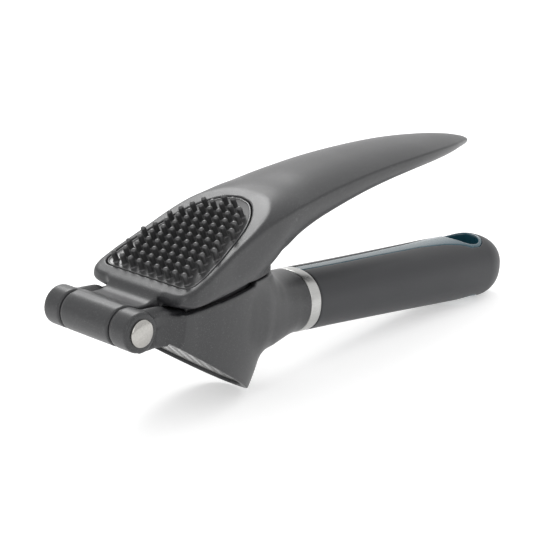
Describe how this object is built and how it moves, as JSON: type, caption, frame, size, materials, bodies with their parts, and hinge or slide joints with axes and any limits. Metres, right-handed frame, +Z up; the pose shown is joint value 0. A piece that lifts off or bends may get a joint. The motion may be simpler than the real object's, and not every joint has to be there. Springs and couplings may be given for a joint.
{
  "type": "garlic press",
  "caption": "Hinged hand press with a perforated hopper, a domed plunger lever, a stud cleaning pad and a rounded soft grip with a hanging hole.",
  "frame": {"origin": "on the table under the middle of the press's bounding box, as it stands on the chin of the hopper and the handle end with its levers closed", "axes": "+X towards the handle end, +Z up from the table, +Y to the left of a person looking along +X; the hinge axis lies along Y"},
  "size_m": [0.1866, 0.0412, 0.0638],
  "materials": {
    "cast_coating": "die-cast aluminium with a satin slate grey non-stick coating and a fine sparkle",
    "soft_grip": "matt grey soft-touch elastomer",
    "teal_core": "glossy teal moulded plastic",
    "black_pad": "black semi-matt moulded plastic",
    "stainless": "brushed stainless steel",
    "polished_pin": "polished stainless steel"
  },
  "bodies": {
    "lower_lever": {"hopper_body": "cast_coating", "sieve_plate": "stainless", "ferrule": "stainless", "handle_core": "teal_core", "handle_grip": "soft_grip", "hinge_pin": "polished_pin", "pin_cap": "polished_pin", "near_washer": "black_pad", "far_washer": "black_pad"},
    "upper_lever": {"press_arm": "cast_coating", "plunger": "cast_coating", "plunger_screws": "stainless", "cleaner_pad": "black_pad"}
  },
  "joints": [
    {"name": "lever_hinge", "type": "hinge", "parent": "lower_lever", "child": "upper_lever", "pos_m": [-0.0874, 0, 0.0359], "axis": [0, -1, 0], "range_deg": [0, 302]}
  ]
}
